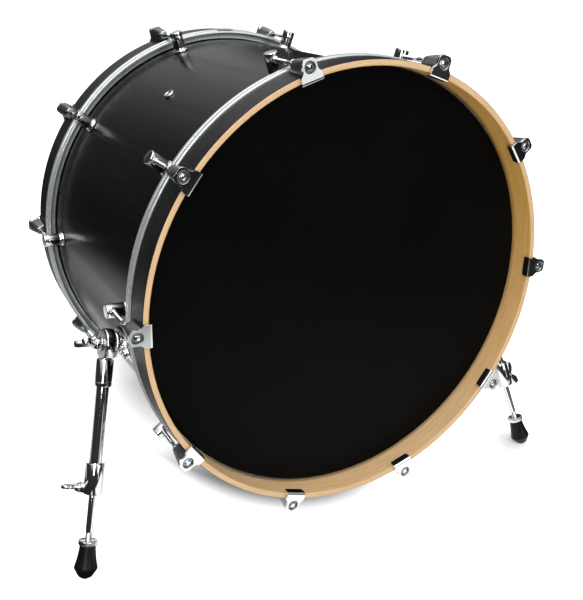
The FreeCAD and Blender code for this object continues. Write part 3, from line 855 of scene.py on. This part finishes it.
def collar_shape():
    shape = Shape()
    profile = [(TUBE_BORE, COLLAR_TOP), (10.8, COLLAR_TOP), (11.5, COLLAR_TOP + 0.3)]
    profile += [(COLLAR_RADIUS, COLLAR_TOP + 1.0), (COLLAR_RADIUS, COLLAR_END - 1.4)]
    profile += [(11.4, COLLAR_END - 0.5), (10.4, COLLAR_END)]
    profile += [(COLLAR_BORE, COLLAR_END), (COLLAR_BORE, COLLAR_STEP), (TUBE_BORE, COLLAR_STEP)]
    shape.lathe(profile, on_leg, 56, closed=True)
    boss = [(BOSS_BORE, 9.0), (BOSS_RADIUS, 9.0), (BOSS_RADIUS, 14.6), (6.1, 15.3)]
    boss += [(5.4, 15.5), (BOSS_BORE, 15.5)]
    shape.lathe(boss, on_screw, 40, closed=True)
    return shape


# Leg head: a domed disc, serrated where it meets the bracket's disc, and the socket of the leg.
PIVOT_BORE = 4.1
HEAD_BACK = -6.2
HEAD_FACE = 7.0
HEAD_RADIUS = 20.0
SOCKET_RADIUS = 10.75
SOCKET_END = 53.0
SOCKET_FLOOR = 21.9
SERRATION = (0.0, -0.35, -0.8, -0.35)


def leg_head_shape():
    shape = Shape()
    rim = [(PIVOT_BORE, HEAD_BACK), (18.9, HEAD_BACK), (19.8, -5.0), (HEAD_RADIUS, -3.8)]
    rim += [(HEAD_RADIUS, 4.8), (19.7, 5.8), (18.9, 6.5)]
    shape.lathe(rim, on_pivot, 160, wobble=toothed(SERRATION, 1, 2))
    dome = [(18.9, 6.5), (17.2, 6.9), (13.5, HEAD_FACE), (9.4, HEAD_FACE)]
    dome += [(PIVOT_BORE, HEAD_FACE), (PIVOT_BORE, HEAD_BACK)]
    shape.lathe(dome, on_pivot, 160, slot=1)
    socket = [(0, 17.6), (8.4, 17.8), (10.1, 18.6), (SOCKET_RADIUS, 20.0)]
    socket += [(SOCKET_RADIUS, 46.4), (10.4, 46.8), (10.4, 47.6), (SOCKET_RADIUS, 48.0)]
    socket += [(SOCKET_RADIUS, 52.1), (10.5, 52.7), (9.9, SOCKET_END), (TUBE_BORE, SOCKET_END)]
    socket += [(TUBE_BORE, SOCKET_FLOOR), (0, SOCKET_FLOOR)]
    shape.lathe(socket, on_leg, 56)
    return shape


# Bracket: a curved plate with two pads, a waisted boss and the fixed half of the ratchet.
PLATE_SEAT = 280.4
PLATE_FACE = 283.9
PLATE_HALF_LENGTH = 28.0
PLATE_HALF_WIDTH = 18.0
PLATE_CORNER = 9.0
LEAST_CORNER = 0.8
PAD_PLACE = 20.0
PAD_SEAT = 282.0
BOSS_SEAT = -27.5
BOLT_END = -20.4
RATCHET_FACE = -6.5
PLATE_TURN = (PIVOT_RADIUS - PLATE_SEAT) * math.tan(LEAN) / PLATE_SEAT


def on_plate(y, across, radius):
    turn = across / PLATE_SEAT + PLATE_TURN
    return (radius * math.cos(turn), y, radius * math.sin(turn))


def on_pad(y):
    return lambda u, v, height: on_plate(y + u, v, height)


def plate_ring(inset, radius):
    """A rounded outline on the plate, drawn in by an inset."""
    points = []
    corner = max(PLATE_CORNER - inset, LEAST_CORNER)
    for quarter, (sy, st) in enumerate(((1, 1), (-1, 1), (-1, -1), (1, -1))):
        cy = sy * (PLATE_HALF_LENGTH - inset - corner)
        ct = st * max(PLATE_HALF_WIDTH - inset - corner, 0.0)
        points += arc(cy, ct, corner, 90 * quarter, 90 * quarter + 90, 6)
    return [on_plate(SPUR_PLACE + y, t, radius) for y, t in points]


def bracket_shape():
    shape = Shape()
    rounds = [(0.0, PLATE_SEAT + 0.1), (0.0, 282.6), (0.4, 283.3), (1.3, 283.8)]
    face = [(inset, PLATE_FACE) for inset in (2.6, 8.0, 13.0, 16.5)]
    shape.loft([plate_ring(inset, radius) for inset, radius in rounds + face])
    pad = [(0, 292.0), (4.4, 291.9), (5.7, 291.4), (6.4, 290.4), (6.5, 289.2), (6.5, 285.4), (7.1, 284.4)]
    pad += [(8.4, 283.8), (8.4, PAD_SEAT), (0, PAD_SEAT)]
    for y in (SPUR_PLACE - PAD_PLACE, SPUR_PLACE + PAD_PLACE):
        shape.lathe(pad, on_pad(y), 32)
    waist = [(0, BOSS_SEAT), (15.6, BOSS_SEAT), (14.4, -23.0), (12.6, -20.6), (11.4, -18.2), (11.2, -15.8)]
    waist += [(12.0, -13.6), (13.4, -12.7)]
    disc = [(15.9, -12.5), (16.7, -12.1), (17.0, -11.3), (17.0, -8.8), (16.8, -7.7), (16.0, RATCHET_FACE)]
    bore = [(PIVOT_BORE, RATCHET_FACE), (PIVOT_BORE, BOLT_END), (0, BOLT_END)]
    shape.lathe(waist + disc + bore, on_pivot, 144, wobble=toothed(SERRATION, 12, 13))
    return shape


spur_places = [DRUM @ SPUR, DRUM @ FLIP @ SPUR]
bracket_mesh = make_mesh("spur_brackets_cast", bracket_shape(), spur_places, [CHROME], 40)
show("spur_brackets_cast", bracket_mesh, "drum", "spur_brackets")

# Each spur piece: name, shape, material, body, CAD node and the angle from which its edges are sharp.
spur_pieces = (
    ("ratchet_leg_head", leg_head_shape(), CHROME, "spur_leg", "spur_leg_head", 40),
    ("pivot_wing_bolt", pivot_bolt_shape(), CHROME, "pivot_bolt", "spur_pivot_wing_bolt", 45),
    ("knurled_lock_nut", knurled_shape(), CHROME, "lock_nut", "spur_lock_nut", 40),
    ("bell_foot", foot_shape(), RUBBER, "foot", "spur_rubber_foot", 50),
    ("threaded_leg_rod", leg_rod_shape(), CHROME, "leg_rod", "spur_leg_rod", 40),
    ("leg_collar", collar_shape(), CHROME, "spur_leg", "spur_leg_collar", 40),
)
LEFT_SCREW_TURN = 100
RIGHT_SCREW_TURN = 10
for side, flip, degrees in (("left", Matrix.Identity(4), LEFT_SCREW_TURN), ("right", FLIP, RIGHT_SCREW_TURN)):
    screw = collar_screw_shape(degrees)
    screw_piece = ("collar_wing_screw", screw, CHROME, "collar_screw", "spur_collar_wing_screw", 45)
    for label, shape, paint, body, replaced, sharp in spur_pieces + (screw_piece,):
        mesh = make_mesh(side + "_" + label, shape, [DRUM @ flip @ SPUR], [paint, SATIN], sharp)
        if label == "bell_foot":
            for vertex in mesh.vertices:
                vertex.co.z = max(vertex.co.z, 0.0)
        show(side + "_" + label, mesh, side + "_" + body, side + "_" + replaced)

# Painted reflection, what metal sees of the floor: edges from the first place to the second in metres, the
# lane's in radians.
PALE_TONE = (0.80, 0.80, 0.80, 1)
DIM_TONE = (0.02, 0.02, 0.02, 1)
PALE_GLEAM = 0.5
LEFT_EDGE = (0.22, 0.34)
BEHIND_SIDE = (0.32, 0.42)
BEHIND_START = (0.0, 0.2)
BEHIND_REACH = (1.25, 0.55)
BEHIND_SHARE = 0.65
LANE_START = (-0.40, -0.26)
LANE_BEARING = 0.50
LANE_EDGE = (0.17, 0.10)
RIGHT_SIDE = (0.38, 0.56)
RIGHT_START = (-0.66, -0.44)
FAR_EDGE = (0.55, 1.5)

# Painted shade on the floor that the camera sees: ovals of half width, centre and half length, and their soft
# edges.
FRONT_OVAL = (0.20, 0.05, 0.284)
FRONT_EDGE = (0.86, 1.06)
FRONT_END = (-0.12, 0.04)
FRONT_SHADE = 0.6
UNDER_OVAL = (0.20, 0.20, 0.30)
UNDER_EDGE = (0.55, 1.25)
FOOT_SHADE_SHIFT = 0.020
FOOT_EDGE = (0.0, 0.07)
FOOT_LEAST = 0.15
LEAST_LIFT = 0.12
LIFT_SPAN = 0.80

FLOOR_HALF = 4
floor_mesh = bpy.data.meshes.new("studio_floor")
floor_corners = [(FLOOR_HALF * a, FLOOR_HALF * b, 0) for a, b in ((-1, -1), (1, -1), (1, 1), (-1, 1))]
floor_mesh.from_pydata(floor_corners, [], [(0, 1, 2, 3)])
floor = bpy.data.objects.new("studio_floor", floor_mesh)
scene.collection.objects.link(floor)


def dim_floor(tree, x, y, distance):
    """Where metal sees a dim floor, a painted reflection: at both sides and far off, less a part behind and a
    bright lane.
    """
    leftwards = tree.times(x, -1.0)
    behind = tree.times(tree.step(leftwards, *BEHIND_SIDE), tree.step(y, *BEHIND_START))
    behind = tree.times(tree.times(behind, tree.step(distance, *BEHIND_REACH)), BEHIND_SHARE)
    bearing = tree.math("ARCTAN2", tree.minus(LANE_START[0], x), tree.minus(LANE_START[1], y))
    lane = tree.step(tree.math("ABSOLUTE", tree.minus(bearing, LANE_BEARING)), *LANE_EDGE)
    left = tree.times(tree.step(leftwards, *LEFT_EDGE), tree.minus(1.0, tree.most(behind, lane)))
    right = tree.times(tree.step(x, *RIGHT_SIDE), tree.step(y, *RIGHT_START))
    return tree.most(tree.most(left, right), tree.step(distance, *FAR_EDGE))


def oval(tree, x, y, half_width, centre, half_length):
    """How far out a place lies from an oval's middle, with 1 on its edge."""
    across = tree.math("DIVIDE", x, half_width)
    along = tree.math("DIVIDE", tree.minus(y, centre), half_length)
    return tree.length(across, along)


def floor_paint():
    """A white floor with a soft shade under the drum and beside the right foot, partly cast by the lamps and
    partly painted shade for camera rays; metal sees a painted reflection of it, dim in places.
    """
    material = bpy.data.materials.new("pale_floor")
    material.use_nodes = True
    material.node_tree.nodes.clear()
    tree = Tree(material.node_tree)
    where = tree.add("ShaderNodeTexCoord").outputs["Object"]
    x, y, _ = tree.split(where)
    distance = tree.add("ShaderNodeVectorMath", operation="LENGTH")
    tree.join(where, distance.inputs[0])
    path = tree.add("ShaderNodeLightPath")
    glossy = path.outputs["Is Glossy Ray"]
    camera_ray = path.outputs["Is Camera Ray"]

    dim = tree.times(glossy, dim_floor(tree, x, y, distance.outputs["Value"]))
    # Painted shadow: inside the front oval the floor's colour is darkened for camera rays, before the front
    # hoop's lower edge.
    open_front = tree.most(tree.step(oval(tree, x, y, *FRONT_OVAL), *FRONT_EDGE), tree.step(y, *FRONT_END))
    shade = tree.times(tree.times(tree.minus(1.0, open_front), camera_ray), FRONT_SHADE)
    tone = tree.add("ShaderNodeMix", data_type="RGBA")
    tone.inputs[6].default_value = PALE_TONE
    tone.inputs[7].default_value = DIM_TONE
    tree.join(tree.most(dim, shade), tone.inputs[0])
    diffuse = tree.add("ShaderNodeBsdfDiffuse")
    tree.join(tone.outputs[2], diffuse.inputs["Color"])

    # Painted shade: the glow that camera rays see is lowered inside the ovals and beside the right foot, over
    # the shade that the lamps cast.
    foot = DRUM @ SPUR @ ((PIVOT + LEG_WAY * FOOT_FLOOR) * MM)
    off_foot = tree.length(tree.minus(x, abs(foot.x) - FOOT_SHADE_SHIFT), tree.minus(y, foot.y))
    open_foot = tree.step(off_foot, *FOOT_EDGE, bottom=FOOT_LEAST)
    open_under = tree.step(oval(tree, x, y, *UNDER_OVAL), *UNDER_EDGE)
    open_floor = tree.least(tree.least(open_front, open_under), open_foot)
    lift = tree.plus(tree.times(open_floor, LIFT_SPAN), LEAST_LIFT)
    # Painted reflection: outside the dim parts, the pale floor glows for glossy rays.
    gleam = tree.times(tree.minus(glossy, dim), PALE_GLEAM)
    glow = tree.add("ShaderNodeEmission")
    tree.join(tree.most(tree.times(camera_ray, lift), gleam), glow.inputs["Strength"])

    both = tree.add("ShaderNodeAddShader")
    tree.join(diffuse.outputs[0], both.inputs[0])
    tree.join(glow.outputs[0], both.inputs[1])
    tree.join(both.outputs[0], tree.add("ShaderNodeOutputMaterial").inputs["Surface"])
    return material


floor_mesh.materials.append(floor_paint())

# What metal sees of the studio: each step goes between two directions, and from one strength to another.
BACKDROP_SLOPE = 1.3
BACKDROP_EDGE = (0.25, 0.55, 0.03, 1.0)
BACKDROP_ACROSS = (-0.35, 0.30, 0.04, 0.55)
BACKDROP_RISE = (0.30, 0.65, 0.0, 1.0)
CEILING_RISE = (0.35, 0.75, 0.03, 0.9)
WINDOW_BEARING = 0.53
WINDOW_EDGE = (0.05, 0.08, 1.0, 0.0)
SOFT_LIGHT = 0.55
WHITE = (1, 1, 1, 1)


def studio_world():
    """A white background for the camera, soft light, and a backdrop, ceiling and window that metal sees."""
    world = bpy.data.worlds.new("studio")
    world.use_nodes = True
    world.node_tree.nodes.clear()
    tree = Tree(world.node_tree)
    x, y, z = tree.split(tree.add("ShaderNodeTexCoord").outputs["Generated"])
    path = tree.add("ShaderNodeLightPath")

    def light(strength):
        node = tree.add("ShaderNodeBackground")
        node.inputs["Color"].default_value = WHITE
        tree.feed(node.inputs["Strength"], strength)
        return node.outputs[0]

    def choose(factor, a, b):
        node = tree.add("ShaderNodeMixShader")
        for socket, source in zip(node.inputs, (factor, a, b)):
            tree.join(source, socket)
        return node.outputs[0]

    aside = tree.times(tree.math("ABSOLUTE", x), BACKDROP_SLOPE)
    backdrop = tree.step(tree.minus(y, aside), *BACKDROP_EDGE)
    low_part = tree.times(backdrop, tree.step(x, *BACKDROP_ACROSS))
    high_part = tree.times(backdrop, tree.step(z, *BACKDROP_RISE))
    bearing = tree.math("ARCTAN2", x, tree.times(y, -1.0))
    window = tree.step(tree.math("ABSOLUTE", tree.minus(bearing, WINDOW_BEARING)), *WINDOW_EDGE)
    shine = tree.most(tree.most(tree.most(high_part, low_part), tree.step(z, *CEILING_RISE)), window)
    seen = tree.most(path.outputs["Is Camera Ray"], path.outputs["Is Transmission Ray"])
    unseen = choose(path.outputs["Is Glossy Ray"], light(SOFT_LIGHT), light(shine))
    surface = choose(seen, unseen, light(1.0))
    tree.join(surface, tree.add("ShaderNodeOutputWorld").inputs["Surface"])
    return world


scene.world = studio_world()

LAMP_AIM = Vector((0, 0, 0.3))


def softbox(name, place, width, height, power):
    lamp = bpy.data.lights.new(name, "AREA")
    lamp.shape = "RECTANGLE"
    lamp.size = width
    lamp.size_y = height
    lamp.energy = power
    holder = bpy.data.objects.new(name, lamp)
    holder.location = place
    holder.rotation_euler = (LAMP_AIM - Vector(place)).to_track_quat("-Z", "Y").to_euler()
    scene.collection.objects.link(holder)


softbox("softbox_top", (-0.4, -0.3, 2.6), width=2.2, height=2.2, power=32)
softbox("softbox_key", (-1.3, -2.2, 1.7), width=0.5, height=1.4, power=23)
softbox("softbox_front", (1.2, -2.6, 1.6), width=1.6, height=1.6, power=12)

# The camera fitted to the photograph.
CAMERA_PLACE = (-0.56781, -1.01435, 0.77949)
CAMERA_TURN = [math.radians(a) for a in (64.3820, -4.0326, -28.7861)]
eye = bpy.data.cameras.new("photo_camera")
eye.sensor_width = 36.0
eye.lens = 50.0
camera = bpy.data.objects.new("photo_camera", eye)
camera.location = CAMERA_PLACE
camera.rotation_euler = Euler(CAMERA_TURN, "XYZ")
scene.collection.objects.link(camera)
scene.camera = camera
